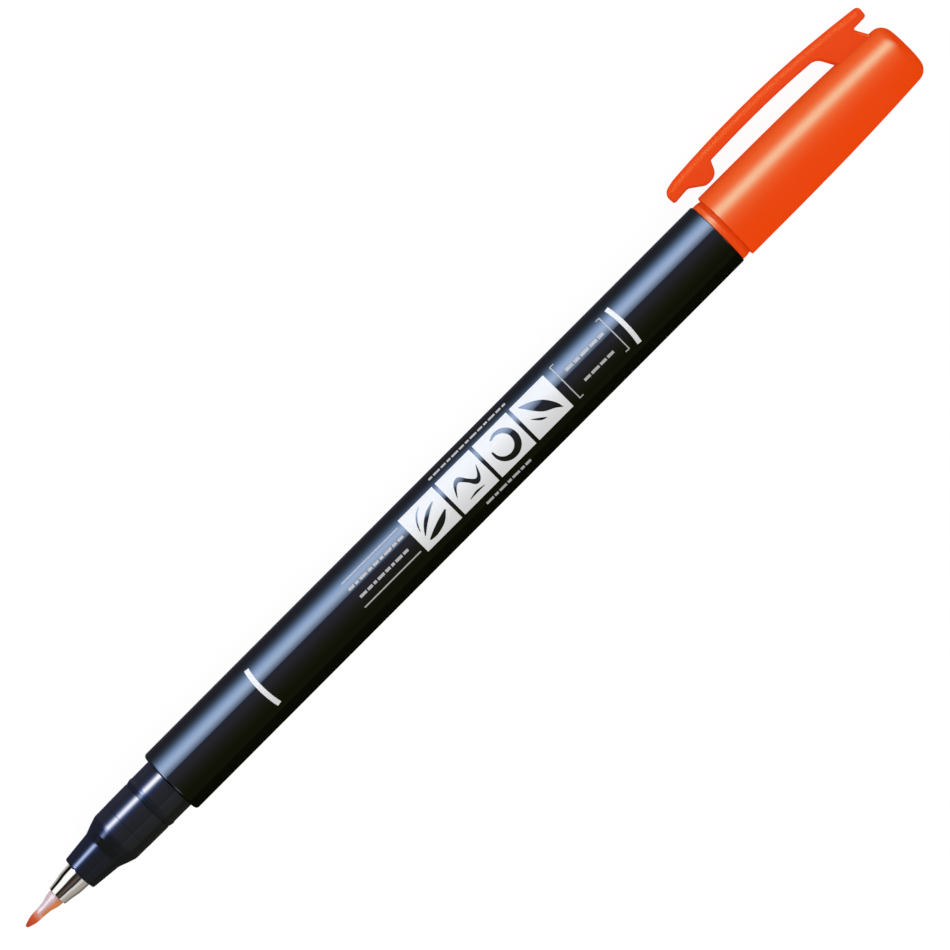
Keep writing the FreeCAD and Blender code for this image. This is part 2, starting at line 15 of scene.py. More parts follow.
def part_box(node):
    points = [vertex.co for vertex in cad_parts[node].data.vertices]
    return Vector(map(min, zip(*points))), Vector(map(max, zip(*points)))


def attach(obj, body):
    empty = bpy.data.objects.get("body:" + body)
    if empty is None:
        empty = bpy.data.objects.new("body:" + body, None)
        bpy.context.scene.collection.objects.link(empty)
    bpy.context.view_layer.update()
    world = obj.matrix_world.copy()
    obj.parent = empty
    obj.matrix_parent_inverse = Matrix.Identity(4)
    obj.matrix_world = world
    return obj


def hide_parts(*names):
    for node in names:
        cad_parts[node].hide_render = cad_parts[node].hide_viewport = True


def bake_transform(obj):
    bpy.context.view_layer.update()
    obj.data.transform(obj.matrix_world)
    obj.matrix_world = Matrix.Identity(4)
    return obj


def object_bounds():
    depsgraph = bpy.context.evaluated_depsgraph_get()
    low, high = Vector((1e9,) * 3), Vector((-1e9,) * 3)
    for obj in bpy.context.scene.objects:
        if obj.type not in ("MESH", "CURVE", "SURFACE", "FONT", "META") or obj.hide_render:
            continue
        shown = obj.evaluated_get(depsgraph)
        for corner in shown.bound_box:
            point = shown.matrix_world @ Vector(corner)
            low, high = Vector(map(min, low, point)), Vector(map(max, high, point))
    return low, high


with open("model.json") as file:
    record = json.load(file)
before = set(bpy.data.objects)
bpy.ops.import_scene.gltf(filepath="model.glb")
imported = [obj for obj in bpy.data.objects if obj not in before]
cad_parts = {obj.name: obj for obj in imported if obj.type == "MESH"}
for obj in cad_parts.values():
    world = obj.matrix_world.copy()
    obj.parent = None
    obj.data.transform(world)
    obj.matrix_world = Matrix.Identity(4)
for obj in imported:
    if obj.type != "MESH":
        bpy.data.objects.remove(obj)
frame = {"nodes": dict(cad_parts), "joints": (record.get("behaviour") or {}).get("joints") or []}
cad_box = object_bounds()

# ---------------------------------------------------------------- places taken from the frame

MM = 0.001
joints = {joint["name"]: joint for joint in frame["joints"]}

BARREL_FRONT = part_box("barrel")[1].x
BARREL_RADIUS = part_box("barrel")[1].z
BARREL_LENGTH = (BARREL_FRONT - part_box("barrel")[0].x) / MM
SECTION_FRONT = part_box("grip_section")[1].x
FERRULE_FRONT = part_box("ferrule")[1].x
NIB_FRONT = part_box("nib")[1].x
TAIL_PLUG_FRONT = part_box("tail_plug")[1].x
CAP_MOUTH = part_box("cap_shell")[1].x
CAP_LENGTH = (CAP_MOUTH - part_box("cap_shell")[0].x) / MM
CAP_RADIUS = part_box("cap_shell")[1].z / MM
DESK = cad_box[0].z

CLIP_ROOT = Vector(joints["clip_flex"]["pos_m"])

# The pen is seen square to its axis, with the clip in profile.
TAILWARD = Vector((-1, 0, 0))
CLIPWARD = Vector((0, CLIP_ROOT.y, CLIP_ROOT.z)).normalized()
VIEWERWARD = TAILWARD.cross(CLIPWARD)


# ---------------------------------------------------------------- outlines

def arc(centre, start, end, steps):
    """Points on the shorter arc from start to end round a centre, both ends included."""
    first = start - centre
    last = end - centre
    turn = first.angle(last)
    points = []
    for step in range(steps + 1):
        share = step / steps
        blend = math.sin((1 - share) * turn) * first + math.sin(share * turn) * last
        points.append(centre + blend / math.sin(turn))
    return points


def rounded(corners, steps=8, closed=True):
    """An outline's points, each corner (x, y, rounding) turned into an arc.

    A point just beside each arc keeps the long flat stretches flat when they are shaded smooth.
    """
    beside = 0.04
    points = []
    for index, (x, y, radius) in enumerate(corners):
        corner = Vector((x, y))
        at_end = not closed and index in (0, len(corners) - 1)
        if radius == 0 or at_end:
            points.append(corner)
            continue
        back = (Vector(corners[index - 1][:2]) - corner).normalized()
        ahead = (Vector(corners[(index + 1) % len(corners)][:2]) - corner).normalized()
        half = back.angle(ahead) / 2
        reach = radius / math.tan(half)
        centre = corner + (back + ahead).normalized() * (radius / math.sin(half))
        points.append(corner + back * (reach + beside))
        points.extend(arc(centre, corner + back * reach, corner + ahead * reach, steps))
        points.append(corner + ahead * (reach + beside))
    return points


def curve_points(knots, steps):
    """A smooth curve through knots (tuples of any length), with a number of steps between two knots."""
    padded = [knots[0], *knots, knots[-1]]
    points = []
    for index in range(1, len(padded) - 2):
        before, start, end, after = (Vector(padded[index + offset]) for offset in (-1, 0, 1, 2))
        for step in range(steps):
            t = step / steps
            points.append(
                0.5 * (2 * start + (end - before) * t
                       + (2 * before - 5 * start + 4 * end - after) * t ** 2
                       + (3 * start - before - 3 * end + after) * t ** 3)
            )
    points.append(Vector(knots[-1]))
    return points


# ---------------------------------------------------------------- meshes

def new_object(name, vertices, faces, sharp_angle=40):
    mesh = bpy.data.meshes.new(name)
    mesh.from_pydata([tuple(vertex) for vertex in vertices], [], faces)
    mesh.validate()
    mesh.shade_smooth()
    mesh.set_sharp_from_angle(angle=math.radians(sharp_angle))
    piece = bpy.data.objects.new(name, mesh)
    bpy.context.scene.collection.objects.link(piece)
    return piece


def lathe(name, front, profile, around=192):
    """Turn a profile of (distance back from the front, radius) points round the pen's axis.

    A profile that starts and ends on the axis is closed there; any other is closed on itself.
    """
    on_axis = 1e-6
    vertices = []
    rings = []
    for back, radius in profile:
        x = front - back * MM
        if radius < on_axis:
            rings.append([len(vertices)])
            vertices.append(Vector((x, 0, 0)))
            continue
        rings.append(list(range(len(vertices), len(vertices) + around)))
        for spoke in range(around):
            angle = 2 * math.pi * spoke / around
            out = CLIPWARD * math.sin(angle) + VIEWERWARD * math.cos(angle)
            vertices.append(Vector((x, 0, 0)) + out * radius * MM)

    loop = rings if len(rings[0]) == 1 else [*rings, rings[0]]
    faces = []
    for ring, next_ring in zip(loop, loop[1:]):
        for spoke in range(around):
            after = (spoke + 1) % around
            if len(ring) == 1:
                faces.append((ring[0], next_ring[after], next_ring[spoke]))
            elif len(next_ring) == 1:
                faces.append((ring[spoke], ring[after], next_ring[0]))
            else:
                faces.append((ring[spoke], ring[after], next_ring[after], next_ring[spoke]))
    piece = new_object(name, vertices, faces)
    face_outward(piece)
    return piece


def join_seam(piece):
    """Join the vertices that lie on top of each other where two halves of a piece meet."""
    same_place = 1e-7
    shape = bmesh.new()
    shape.from_mesh(piece.data)
    bmesh.ops.remove_doubles(shape, verts=shape.verts, dist=same_place)
    shape.to_mesh(piece.data)
    shape.free()


def face_outward(piece):
    """Make a closed mesh's faces point out of it."""
    mesh = piece.data
    volume = 0
    for polygon in mesh.polygons:
        first, second, *rest = (mesh.vertices[index].co for index in polygon.vertices)
        for third in rest:
            volume += first.dot(second.cross(third))
            second = third
    if volume < 0:
        mesh.flip_normals()


# ---------------------------------------------------------------- materials

class Surface:
    """A Principled material and the few node patterns that this pen's surfaces share."""

    def __init__(self, name, colour, roughness, **settings):
        self.material = bpy.data.materials.new(name)
        self.material.use_nodes = True
        self.nodes = self.material.node_tree.nodes
        self.links = self.material.node_tree.links
        self.shader = self.nodes["Principled BSDF"]
        self.shader.inputs["Base Color"].default_value = (*colour, 1)
        self.shader.inputs["Roughness"].default_value = roughness
        for socket, value in settings.items():
            self.shader.inputs[socket.replace("_", " ")].default_value = value
        coordinates = self.nodes.new("ShaderNodeTexCoord")
        self.place = coordinates.outputs["Object"]
        self.facing = coordinates.outputs["Normal"]

    def link(self, output, node, socket):
        self.links.new(output, node.inputs[socket])

    def stretched(self, scale):
        """The place on the surface, scaled along the three axes."""
        mapping = self.nodes.new("ShaderNodeMapping")
        mapping.inputs["Scale"].default_value = scale
        self.link(self.place, mapping, "Vector")
        return mapping.outputs["Vector"]

    def noise(self, size, detail=3.0, place=None):
        """Noise whose blotches are about this size, in millimetres."""
        node = self.nodes.new("ShaderNodeTexNoise")
        node.inputs["Scale"].default_value = 1 / (size * MM)
        node.inputs["Detail"].default_value = detail
        self.link(place or self.place, node, "Vector")
        return node.outputs["Fac"]

    def spread(self, value, low, high, from_low=0.3, from_high=0.7):
        """Map a value to a range."""
        node = self.nodes.new("ShaderNodeMapRange")
        node.interpolation_type = "SMOOTHSTEP"
        node.inputs["From Min"].default_value = from_low
        node.inputs["From Max"].default_value = from_high
        node.inputs["To Min"].default_value = low
        node.inputs["To Max"].default_value = high
        self.link(value, node, "Value")
        return node.outputs["Result"]

    def math(self, operation, first, second):
        node = self.nodes.new("ShaderNodeMath")
        node.operation = operation
        for socket, value in zip(node.inputs, (first, second)):
            if isinstance(value, (int, float)):
                socket.default_value = value
            else:
                self.links.new(value, socket)
        return node.outputs["Value"]

    def along(self, direction, vector=None):
        """How far the place on the surface, or another vector, goes in a direction."""
        node = self.nodes.new("ShaderNodeVectorMath")
        node.operation = "DOT_PRODUCT"
        node.inputs[1].default_value = direction
        self.links.new(vector or self.place, node.inputs[0])
        return node.outputs["Value"]

    def mix(self, share, first, second):
        """Blend of two colours; each is a colour or another blend."""
        node = self.nodes.new("ShaderNodeMix")
        node.data_type = "RGBA"
        self.links.new(share, node.inputs["Factor"])
        colour_sockets = [socket for socket in node.inputs if socket.type == "RGBA"]
        for socket, colour in zip(colour_sockets, (first, second)):
            if isinstance(colour, tuple):
                socket.default_value = (*colour, 1)
            else:
                self.links.new(colour, socket)
        return next(socket for socket in node.outputs if socket.type == "RGBA")

    def set(self, socket, value):
        self.link(value, self.shader, socket)

    def bump(self, height, depth, strength=1.0):
        """Relief of a depth in millimetres."""
        node = self.nodes.new("ShaderNodeBump")
        node.inputs["Distance"].default_value = depth * MM
        node.inputs["Strength"].default_value = strength
        self.link(height, node, "Height")
        self.set("Normal", node.outputs["Normal"])


def shade(colour, factor):
    return tuple(channel * factor for channel in colour)


def moulded_plastic(name, colour, roughness, ripple=0.0006):
    """Glossy moulded plastic: faint flow marks, handling marks in its gloss, a soft ripple."""
    surface = Surface(name, colour, roughness)
    flow = surface.noise(9.0, place=surface.stretched((0.35, 1, 1)))
    surface.set("Base Color", surface.mix(flow, shade(colour, 0.97), shade(colour, 1.03)))
    smudges = surface.spread(surface.noise(4.0), 0, 0.03)
    rubbed = surface.noise(0.12, detail=2, place=surface.stretched((0.02, 1, 1)))
    scuffs = surface.spread(rubbed, 0, 0.05, 0.62, 0.8)
    marks = surface.math("ADD", smudges, scuffs)
    surface.set("Roughness", surface.math("ADD", marks, roughness))
    surface.bump(surface.noise(1.6, detail=1), ripple)
    return surface


NAVY_BLACK = (0.0028, 0.0032, 0.0009)
SECTION_NAVY = (0.0093, 0.0098, 0.0095)
ORANGE = (0.822, 0.0575, 0.0006)
PRINT_GREY = (0.72, 0.72, 0.715)
FINE_PRINT_GREY = (0.42, 0.41, 0.41)


def make_materials():
    """One material for each of the record's slots, and two for the print on the barrel."""
    return {
        "barrel_plastic": moulded_plastic("barrel_plastic", NAVY_BLACK, 0.06),
        "section_plastic": moulded_plastic("section_plastic", SECTION_NAVY, 0.07),
        "ferrule_chrome": chrome(),
        "nib_felt": felt_nib(),
        "wick_fibre": fibre("wick_fibre", (0.72, 0.19, 0.06)),
        "ink_fibre": fibre("ink_fibre", (0.62, 0.10, 0.02)),
        "store_film": clear_film(),
        "plug_plastic": moulded_plastic("plug_plastic", ORANGE, 0.12),
        "cap_plastic": moulded_plastic("cap_plastic", ORANGE, 0.12),
        "clip_plastic": moulded_plastic("clip_plastic", ORANGE, 0.16, ripple=0.0001),
        "inner_cap_plastic": moulded_plastic("inner_cap_plastic", (0.78, 0.78, 0.75), 0.4),
        "print": printed_ink("print", PRINT_GREY),
        "fine_print": printed_ink("fine_print", FINE_PRINT_GREY),
        "stroke": moulded_plastic("stroke", NAVY_BLACK, 0.06),
    }


def chrome():
    """Bright plating over a turned cone, with the faintest turning lines."""
    surface = Surface("ferrule_chrome", (0.86, 0.84, 0.82), 0.07, Metallic=1.0)
    lines = surface.noise(0.05, detail=2, place=surface.stretched((1, 0.02, 0.02)))
    haze = surface.noise(1.2)
    surface.set("Roughness", surface.spread(haze, 0.05, 0.12))
    surface.bump(lines, 0.0003)
    return surface


def felt_nib():
    """Felt point soaked with orange ink; its pale, glassy base carries a painted highlight on the clip
    side and turns darker rose, then orange-tan, towards the desk side.
    """
    point_dark = (0.50, 0.035, 0.006)
    point = (0.60, 0.076, 0.005)
    point_pale = (0.70, 0.33, 0.24)
    base_pale = (0.66, 0.50, 0.57)
    base_painted_highlight = (0.95, 0.86, 0.88)
    base_rose = (0.58, 0.34, 0.36)
    base_tan = (0.60, 0.20, 0.06)
    surface = Surface(
        "nib_felt", point, 0.4, Specular_IOR_Level=0.25, Subsurface_Weight=0.1, Subsurface_Scale=0.0002
    )
    fibres = surface.noise(0.16, detail=4, place=surface.stretched((0.25, 1, 1)))
    ragged = surface.math("MULTIPLY", surface.math("SUBTRACT", fibres, 0.5), 0.8 * MM)
    back = surface.math("ADD", surface.math("SUBTRACT", NIB_FRONT, surface.along((1, 0, 0))), ragged)

    tip = surface.mix(surface.spread(back, 0, 1, 0.2 * MM, 1.4 * MM), point_dark, point)
    tip = surface.mix(surface.spread(back, 0, 1, 1.3 * MM, 2.3 * MM), tip, point_pale)
    tip = surface.mix(surface.spread(fibres, 0, 0.3), tip, point_dark)

    # The base's colour follows which way its surface faces: a painted highlight band on the clip side,
    # then darker rose and orange-tan towards the desk side.
    uneven = surface.math("MULTIPLY", surface.math("SUBTRACT", fibres, 0.5), 0.7)
    side = surface.math("ADD", surface.along(CLIPWARD, surface.facing), uneven)
    base = surface.mix(surface.spread(side, 0, 1, -0.25, 0.2), base_rose, base_pale)
    base = surface.mix(surface.spread(side, 0, 1, 0.05, 0.3), base, base_painted_highlight)
    base = surface.mix(surface.spread(side, 0, 1, 0.3, 0.6), base, base_pale)
    base = surface.mix(surface.spread(side, 1, 0, -0.5, -0.1), base, base_tan)
    in_base = surface.spread(back, 0, 1, 2.15 * MM, 2.45 * MM)
    surface.set("Base Color", surface.mix(in_base, tip, base))
    surface.set("Roughness", surface.spread(in_base, 0.6, 0.14, 0, 1))
    surface.bump(fibres, 0.012)
    return surface


def fibre(name, colour):
    """Bundled fibres that run along the pen, soaked unevenly."""
    surface = Surface(name, colour, 0.85, Sheen_Weight=0.3)
    strands = surface.noise(0.08, detail=4, place=surface.stretched((0.04, 1, 1)))
    soaked = surface.mix(surface.noise(6.0), shade(colour, 0.7), shade(colour, 1.15))
    surface.set("Base Color", surface.mix(surface.spread(strands, 0, 0.5), soaked, shade(colour, 0.45)))
    surface.bump(strands, 0.03)
    return surface


def clear_film():
    """Thin clear film wrapped round the ink store, tinted where ink has wetted it."""
    surface = Surface("store_film", (0.92, 0.86, 0.8), 0.12, Alpha=0.35)
    wetted = surface.spread(surface.noise(5.0), 0, 1)
    surface.set("Base Color", surface.mix(wetted, (0.92, 0.9, 0.86), (0.85, 0.35, 0.15)))
    surface.bump(surface.noise(0.8, place=surface.stretched((0.2, 1, 1))), 0.01)
    return surface


def printed_ink(name, colour):
    """Matt pad-printed ink with painted shade, lighter on the clip side and a little greyer towards the
    desk, with the grain of a screen.
    """
    surface = Surface(name, colour, 0.55, Specular_IOR_Level=0.2)
    radius = BARREL_RADIUS
    # Painted shade: the ink's colour runs from greyer on the desk side to lighter on the clip side.
    fade = surface.spread(surface.along(CLIPWARD), 0, 1, -0.55 * radius, 0.3 * radius)
    grain = surface.spread(surface.noise(0.07, detail=2), 0.0, 0.35, 0.45, 0.75)
    ink_with_painted_shade = surface.mix(fade, shade(colour, 0.87), shade(colour, 1.14))
    surface.set("Base Color", surface.mix(grain, ink_with_painted_shade, shade(colour, 0.8)))
    surface.bump(surface.noise(0.07, detail=2), 0.002)
    return surface


materials = make_materials()


def finish_piece(piece, slot, body=None, replaces=None, surface=None):
    """Give a piece its material, its slot, the body it rides on and the node it stands for."""
    piece.data.materials.append(materials[surface or slot].material)
    if body:
        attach(piece, body)
    if replaces:
        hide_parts(replaces)
    return piece


# ---------------------------------------------------------------- pen

def make_barrel():
    wall = 0.76
    front_rim = 0.45
    back_rim = 0.15
    inner_rim = 0.1
    radius = BARREL_RADIUS / MM
    profile = rounded([
        (0, radius - wall, inner_rim),
        (BARREL_LENGTH, radius - wall, inner_rim),
        (BARREL_LENGTH, radius, back_rim),
        (0, radius, front_rim),
    ])
    return finish_piece(lathe("barrel_tube", BARREL_FRONT, profile), "barrel_plastic", "pen", "barrel")


def make_grip_section():
    """Nose cone, S-shaped shoulder, grip with a slight crease, snap groove, ridge, collar and plug."""
    bore = 1.82
    plug_end = 24.0
    profile = rounded([
        (0, bore, 0.08),
        (plug_end, bore, 0.1),
        (plug_end, 3.82, 0.2),
        (16.1, 3.82, 0),
        (16.0, 3.73, 0),
        (12.9, 3.72, 0.1),
        (12.5, 3.80, 0.1),
        (11.95, 3.67, 0.05),
        (11.9, 3.62, 0.02),
        (11.82, 3.62, 0.02),
        (11.78, 3.685, 0.04),
        (8.38, 3.66, 0.04),
        (8.32, 3.64, 0.04),
        (6.3, 3.63, 1.5),
        (5.25, 3.29, 2.2),
        (4.05, 2.83, 1.6),
        (0, 2.42, 0.25),
    ])
    piece = lathe("grip_body", SECTION_FRONT, profile)
    return finish_piece(piece, "section_plastic", "pen", "grip_section")


def make_ferrule():
    """Chrome cone: a steeper front, a soft waist, then a long flat cone into the section."""
    bore = 1.13
    profile = rounded([
        (0, bore, 0.05),
        (8.4, bore, 0.05),
        (8.4, 1.78, 0.1),
        (3.9, 1.80, 0),
        (3.86, 1.82, 0),
        (2.2, 1.71, 2.5),
        (1.1, 1.50, 1.8),
        (0, 1.36, 0.07),
    ])
    piece = lathe("ferrule_cone", FERRULE_FRONT, profile)
    return finish_piece(piece, "ferrule_chrome", "pen", "ferrule")


def make_nib():
    """Bullet-shaped felt point, a slight neck, then the flared base that goes into the ferrule."""
    knots = [
        (0, 0.0), (0.03, 0.13), (0.14, 0.22), (0.43, 0.33), (0.92, 0.48), (1.45, 0.585),
        (2.0, 0.615), (2.45, 0.635), (3.1, 0.70), (3.65, 0.78), (4.2, 0.95), (4.6, 1.04), (5.2, 1.105),
    ]
    stem = [(9.0, 1.105), (9.05, 0.0)]
    profile = [*curve_points(knots, 5), *(Vector(point) for point in stem)]
    nib = lathe("nib_point", NIB_FRONT, profile, around=128)
    finish_piece(nib, "nib_felt", replaces="nib")
    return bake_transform(nib)


def make_tail_plug():
    """Plug in the barrel, ring in sight between barrel and cap, hollow spigot for the cap."""
    depth = 5.7
    ring_end = depth + 1.35
    ring_slope_at = depth + 0.7
    back = depth + 11.7
    profile = rounded([
        (0, 2.9, 0.1),
        (back - 1.1, 2.9, 0.3),
        (back - 1.1, 0, 0),
        (back, 0, 0),
        (back, 3.72, 0.6),
        (ring_end, 3.72, 0.05),
        (ring_end, 4.28, 0.03),
        (ring_slope_at, 4.42, 0.05),
        (depth + 0.02, 4.42, 0.04),
        (depth + 0.02, 3.82, 0.05),
        (0, 3.82, 0.2),
    ])
    first = profile.index(Vector((back, 0)))
    piece = lathe("plug_and_ring", TAIL_PLUG_FRONT, profile[first:] + profile[:first])
    return finish_piece(piece, "plug_plastic", "pen", "tail_plug")


# ---------------------------------------------------------------- cap and clip

def cap_outside(back):
    """Outer radius of the cap: parallel at the mouth, then an ever steeper taper to the closed end."""
    straight = 3.4
    drop = 0.62
    share = max(0, back - straight) / (CAP_LENGTH - straight - 1.3)
    return CAP_RADIUS - drop * share ** 2.6


def make_cap_shell():
    bore = 3.9
    back_bore = 3.47
    bead = 3.7
    mouth_rim = 0.16
    end_rounding = 1.7
    taper_steps = 14
    taper_from = 1.2
    taper_to = CAP_LENGTH - 2.8
    dome_at = CAP_LENGTH - 0.16
    taper = []
    for step in range(taper_steps + 1):
        back = taper_to + (taper_from - taper_to) * step / taper_steps
        taper.append((back, cap_outside(back), 0))
    profile = rounded([
        (CAP_LENGTH, 0, 0),
        (CAP_LENGTH - 0.02, 1.2, 0),
        (CAP_LENGTH - 0.06, 2.2, 0),
        (dome_at, cap_outside(CAP_LENGTH) + 0.02, end_rounding),
        *taper,
        (0, CAP_RADIUS, mouth_rim),
        (0, bore, 0.15),
        (bead - 0.3, bore, 0.1),
        (bead, 3.79, 0.2),
        (bead + 0.3, bore, 0.1),
        (13.0, bore, 0.1),
        (13.0, back_bore, 0.1),
        (CAP_LENGTH - 1.3, back_bore, 0.6),
        (CAP_LENGTH - 1.3, 0, 0),
    ], closed=False)
    return finish_piece(lathe("cap_body", CAP_MOUTH, profile), "cap_plastic", "cap", "cap_shell")


def clip_top(back):
    """Height above the axis of the clip's outer face: two long arcs that meet at its highest point."""
    peak = 11.15
    peak_height = 8.94
    sweep = 137.0 if back > peak else 165.0
    return peak_height - sweep + math.sqrt(sweep ** 2 - (back - peak) ** 2)


def clip_outline():
    """Side view of the bar, its pad, its bridge and its stub: (distance back from the mouth, height)."""
    thickness = 1.85
    under = [(back, clip_top(back) - thickness, 0) for back in (5.6, 8, 10, 12, 14, 16, 18, 19.4)]
    over = [(back, clip_top(back), 0) for back in (28, 26, 23, 20, 17, 14, 11.15, 8, 5.5, 3, 1, -0.6)]
    return rounded([
        (-2.38, 6.33, 0.35),
        (0.1, 6.5, 0.9),
        (2.0, 5.13, 1.5),
        (3.55, 5.13, 1.35),
        (4.42, clip_top(4.42) - thickness, 0.25),
        *under,
        (22.35, 6.62, 1.5),
        (24.0, 3.6, 0.1),
        (29.3, 3.6, 0.1),
        (28.0, 5.95, 0.2),
        (30.32, 5.97, 0.4),
        (30.48, 7.6, 0.62),
        *over,
        (-2.5, 8.1, 1.1),
    ])


def make_clip():
    """The clip as one moulding: its side view thickened, with a crowned top and softly broken edges."""
    half_width = 1.8
    top_round = 1.05
    under_round = 0.22
    steps = 8
    outline = clip_outline()
    count = len(outline)
    normals = []
    for index in range(count):
        tangent = outline[(index + 1) % count] - outline[index - 1]
        normals.append(Vector((tangent.y, -tangent.x)).normalized())

    def crown(normal):
        upward = max(0, normal.y)
        return under_round + (top_round - under_round) * upward ** 2

    # Inset and distance from the middle plane of each loop on one side, by the local rounding.
    def loops_out(radius):
        flat = half_width - radius
        yield 0, 0
        yield 0, flat * 0.6
        for step in range(steps + 1):
            turn = math.radians(90 * step / steps)
            yield radius * (1 - math.cos(turn)), flat + radius * math.sin(turn)
        yield radius + 0.05, half_width

    vertices = []
    for side in (1, -1):
        for point, normal in zip(outline, normals):
            for inset, sideways in loops_out(crown(normal)):
                place = point - normal * inset
                vertices.append(
                    Vector((CAP_MOUTH, 0, 0)) + TAILWARD * place.x * MM
                    + CLIPWARD * place.y * MM + VIEWERWARD * side * sideways * MM
                )

    per_point = steps + 4
    faces = []
    for half in (0, 1):
        base = half * count * per_point
        for index in range(count):
            here = base + index * per_point
            ahead = base + (index + 1) % count * per_point
            for loop in range(per_point - 1):
                quad = (here + loop, ahead + loop, ahead + loop + 1, here + loop + 1)
                faces.append(quad[::-1] if half else quad)
        side_face = tuple(base + index * per_point + per_point - 1 for index in range(count))
        faces.append(side_face[::-1] if half else side_face)
    clip = new_object("clip_bar", vertices, faces, sharp_angle=50)
    join_seam(clip)
    face_outward(clip)
    # Its mirror image in the glossy cap and barrel would be a dark blot under the bar.
    clip.visible_glossy = False
    finish_piece(clip, "clip_plastic", replaces="clip")
    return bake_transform(clip)


# ---------------------------------------------------------------- print on the barrel

def on_barrel(back, round_by, lift):
    """A place on the barrel: back from its front rim, round towards the clip, out from its surface."""
    angle = round_by * MM / BARREL_RADIUS
    out = VIEWERWARD * math.cos(angle) + CLIPWARD * math.sin(angle)
    return Vector((BARREL_FRONT - back * MM, 0, 0)) + out * (BARREL_RADIUS + lift * MM)


def ribbon(path, across=4, lift=0.016):
    """A layer of ink along a path of (back, round_by, half width), as a thin closed solid."""
    sunk = -0.01
    count = len(path)
    vertices = []
    for layer in (lift, sunk):
        for index, (back, round_by, half_width) in enumerate(path):
            ahead = path[min(index + 1, count - 1)]
            behind = path[max(index - 1, 0)]
            along = Vector((ahead[0] - behind[0], ahead[1] - behind[1])).normalized()
            for step in range(across + 1):
                offset = half_width * (2 * step / across - 1)
                vertices.append(on_barrel(back - along.y * offset, round_by + along.x * offset, layer))

    row = across + 1
    bottom = count * row
    faces = []
    for index in range(count - 1):
        for step in range(across):
            here = index * row + step
            quad = (here, here + 1, here + row + 1, here + row)
            faces.append(quad)
            faces.append(tuple(corner + bottom for corner in reversed(quad)))
        for edge, flip in ((index * row, True), (index * row + across, False)):
            quad = (edge, edge + row, edge + row + bottom, edge + bottom)
            faces.append(quad[::-1] if flip else quad)
    for start, flip in ((0, False), ((count - 1) * row, True)):
        for step in range(across):
            here = start + step
            quad = (here, here + 1, here + 1 + bottom, here + bottom)
            faces.append(quad if flip else quad[::-1])
    return vertices, faces


def printed(name, ribbons, surface="print"):
    """Join layers of ink into one piece that rides on the pen."""
    vertices = []
    faces = []
    for more_vertices, more_faces in ribbons:
        base = len(vertices)
        vertices += more_vertices
        faces += [tuple(index + base for index in face) for face in more_faces]
    piece = new_object(name, vertices, faces)
    face_outward(piece)
    return finish_piece(piece, "barrel_plastic", "pen", surface=surface)


TILE_TOP = 3.15
TILE_BOTTOM = -2.5
TILE_PITCH = 6.41
TILE_WIDTH = 5.88
TILE_COUNT = 4
FIRST_TILE = 42.43


def tile_middle(number):
    return FIRST_TILE + TILE_WIDTH / 2 + TILE_PITCH * number


def straight(back, round_by, length, height, steps=2):
    """A bar along the pen, starting at back."""
    return ribbon([(back + length * step / steps, round_by, height / 2) for step in range(steps + 1)])


def upright(back, bottom, top, width, bow=0.0, steps=28, lift=0.016):
    """A bar round the barrel; its middle bows back by some millimetres."""
    path = []
    for step in range(steps + 1):
        share = step / steps
        bulge = 1 - (2 * share - 1) ** 2
        path.append((back + bow * bulge, bottom + (top - bottom) * share, width / 2))
    return ribbon(path, across=2, lift=lift)


def dashes(back, length, round_by, height, words=(0.9, 0.55, 1.2, 0.7), gap=0.22):
    """A row of small dashes in place of small print."""
    made = []
    at = back
    index = 0
    while at < back + length - 0.3:
        word = min(words[index % len(words)], back + length - at)
        made.append(straight(at, round_by, word, height))
        at += word + gap
        index += 1
    return made


def make_print():
    bar_top, bar_bottom = 3.45, -2.8
    rule_length = 9.7
    rule_start = 32.15
    bracket_fronts = (68.8, 77.3)
    bars = [
        upright(16.5, bar_bottom, bar_top, 0.68, bow=-0.3),
        upright(78.7, bar_bottom, bar_top, 0.64, bow=0.26),
    ]
    rules = [straight(rule_start, height, rule_length, 0.18) for height in (2.4, -1.76)]
    small_print = [
        *dashes(rule_start + 0.1, rule_length - 0.2, 1.15, 0.36),
        *dashes(rule_start + 0.5, rule_length - 1.0, -0.45, 0.36, words=(1.1, 0.8, 0.5)),
        *dashes(FIRST_TILE + 6.2, 13.2, 4.4, 0.4, words=(0.6, 1.1, 0.8)),
        *dashes(FIRST_TILE + 9.2, 7.6, -3.7, 0.4, words=(1.2, 0.6)),
        *dashes(bracket_fronts[0] + 1.1, 6.6, 1.35, 0.42, words=(1.2, 0.9, 1.4)),
        *dashes(bracket_fronts[0] + 1.9, 5.0, -1.15, 0.36, words=(1.0, 1.3)),
    ]
    brackets = []
    for back, tick in zip(bracket_fronts, (1, -1)):
        brackets.append(upright(back, -2.4, 3.3, 0.15))
        for height in (-2.33, 3.23):
            brackets.append(straight(min(back, back + tick * 0.6), height, 0.6, 0.15))
    tiles = [
        upright(tile_middle(number), TILE_BOTTOM, TILE_TOP, TILE_WIDTH, lift=0.012)
        for number in range(TILE_COUNT)
    ]
    return [
        printed("printed_bars", bars),
        printed("printed_rules", rules + brackets, surface="fine_print"),
        printed("printed_small_marks", small_print, surface="fine_print"),
        printed("printed_tiles", tiles),
        make_strokes(),
    ]


def stroke(tile, knots, steps=8):
    """A brush stroke on a tile; knots hold (across, up, half width), measured from the tile's middle."""
    middle_back = tile_middle(tile)
    middle_up = (TILE_TOP + TILE_BOTTOM) / 2
    points = curve_points(knots, steps)
    return ribbon([(middle_back + x, middle_up + y, max(w, 0.015)) for x, y, w in points], lift=0.022)


